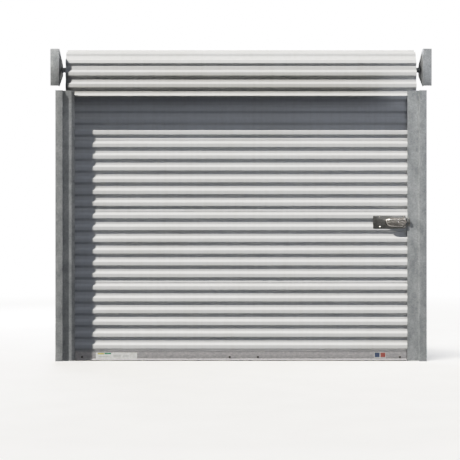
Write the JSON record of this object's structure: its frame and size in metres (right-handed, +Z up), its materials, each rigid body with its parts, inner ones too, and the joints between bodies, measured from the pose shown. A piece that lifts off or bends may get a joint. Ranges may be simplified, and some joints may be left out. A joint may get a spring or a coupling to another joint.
{
  "type": "roll-up shutter door",
  "caption": "Manual roll-up door of corrugated steel sheet with side guides, sprung roller, weather bar and a slide latch.",
  "frame": {"origin": "middle of the door opening, at floor level, on the wall's inner face", "axes": "+X to the right as seen from outside, +Y into the building, +Z up"},
  "size_m": [3.12, 0.3761, 2.5407],
  "materials": {
    "pre_painted_steel": "pale grey coil-coated paint, satin",
    "galvanised_steel": "hot-dip galvanised with a dull spangle",
    "mill_aluminium": "mill-finish extrusion, weathered",
    "stainless_steel": "pressed and polished stainless steel",
    "zinc_plate": "bright zinc plating",
    "spring_steel": "oil-tempered wire, dark",
    "rubber_seal": "matt extruded rubber",
    "moulded_plastic": "moulded glass-filled nylon",
    "liner_plastic": "extruded polyethylene",
    "label_vinyl": "plain vinyl label, no print"
  },
  "bodies": {
    "door_frame": {"axle": "galvanised_steel", "keeper_screw_1": "zinc_plate", "keeper_screw_2": "zinc_plate", "latch_keeper": "stainless_steel", "left_axle_collar": "zinc_plate", "left_bracket_bolt_1": "zinc_plate", "left_bracket_bolt_2": "zinc_plate", "left_guide": "galvanised_steel", "left_guide_bolt_1": "zinc_plate", "left_guide_bolt_2": "zinc_plate", "left_guide_bolt_3": "zinc_plate", "left_guide_liner": "liner_plastic", "left_head_bracket": "galvanised_steel", "left_spring_anchor": "zinc_plate", "right_axle_collar": "zinc_plate", "right_bracket_bolt_1": "zinc_plate", "right_bracket_bolt_2": "zinc_plate", "right_guide": "galvanised_steel", "right_guide_bolt_1": "zinc_plate", "right_guide_bolt_2": "zinc_plate", "right_guide_bolt_3": "zinc_plate", "right_guide_liner": "liner_plastic", "right_head_bracket": "galvanised_steel", "right_spring_anchor": "zinc_plate"},
    "curtain": {"bar_screw_1": "zinc_plate", "bar_screw_2": "zinc_plate", "bar_screw_3": "zinc_plate", "bar_screw_4": "zinc_plate", "bottom_angle": "galvanised_steel", "bottom_bar": "mill_aluminium", "bottom_seal": "rubber_seal", "care_label": "label_vinyl", "curtain_sheet_1": "pre_painted_steel", "curtain_sheet_2": "pre_painted_steel", "curtain_sheet_3": "pre_painted_steel", "curtain_sheet_4": "pre_painted_steel", "origin_label": "label_vinyl"},
    "drum": {"drum_wheel_1": "moulded_plastic", "drum_wheel_2": "moulded_plastic", "drum_wheel_3": "moulded_plastic", "drum_wheel_4": "moulded_plastic", "left_torsion_spring": "spring_steel", "right_torsion_spring": "spring_steel", "wheel_bearing_1": "liner_plastic", "wheel_bearing_2": "liner_plastic", "wheel_bearing_3": "liner_plastic", "wheel_bearing_4": "liner_plastic", "wound_curtain": "pre_painted_steel"},
    "latch_carrier": {"latch_backplate": "stainless_steel", "latch_housing": "stainless_steel", "latch_rail": "zinc_plate", "latch_rivet_1": "stainless_steel", "latch_rivet_2": "stainless_steel", "latch_rivet_3": "stainless_steel", "latch_rivet_4": "stainless_steel"},
    "latch_bolt": {"latch_slide_bolt": "stainless_steel"}
  },
  "joints": [
    {"name": "curtain_lift", "type": "slide", "parent": "door_frame", "child": "curtain", "axis": [0, 0, 1], "range_m": [0, 1.998], "deforming": ["curtain_sheet_1", "curtain_sheet_2", "curtain_sheet_3", "curtain_sheet_4"]},
    {"name": "drum_spin", "type": "hinge", "parent": "door_frame", "child": "drum", "pos_m": [0, 0.219, 2.378], "axis": [-1, 0, 0], "range_deg": [0, 720.5]},
    {"name": "latch_carry", "type": "slide", "parent": "door_frame", "child": "latch_carrier", "axis": [0, 0, 1], "range_m": [0, 1.1]},
    {"name": "latch_bolt_slide", "type": "slide", "parent": "latch_carrier", "child": "latch_bolt", "axis": [1, 0, 0], "range_m": [0, 0.03]}
  ],
  "couplings": [
    {"joint": "drum_spin", "follows": "curtain_lift", "rad_per_m": 6.2893},
    {"joint": "latch_carry", "follows": "curtain_lift", "ratio": 0.5411}
  ]
}
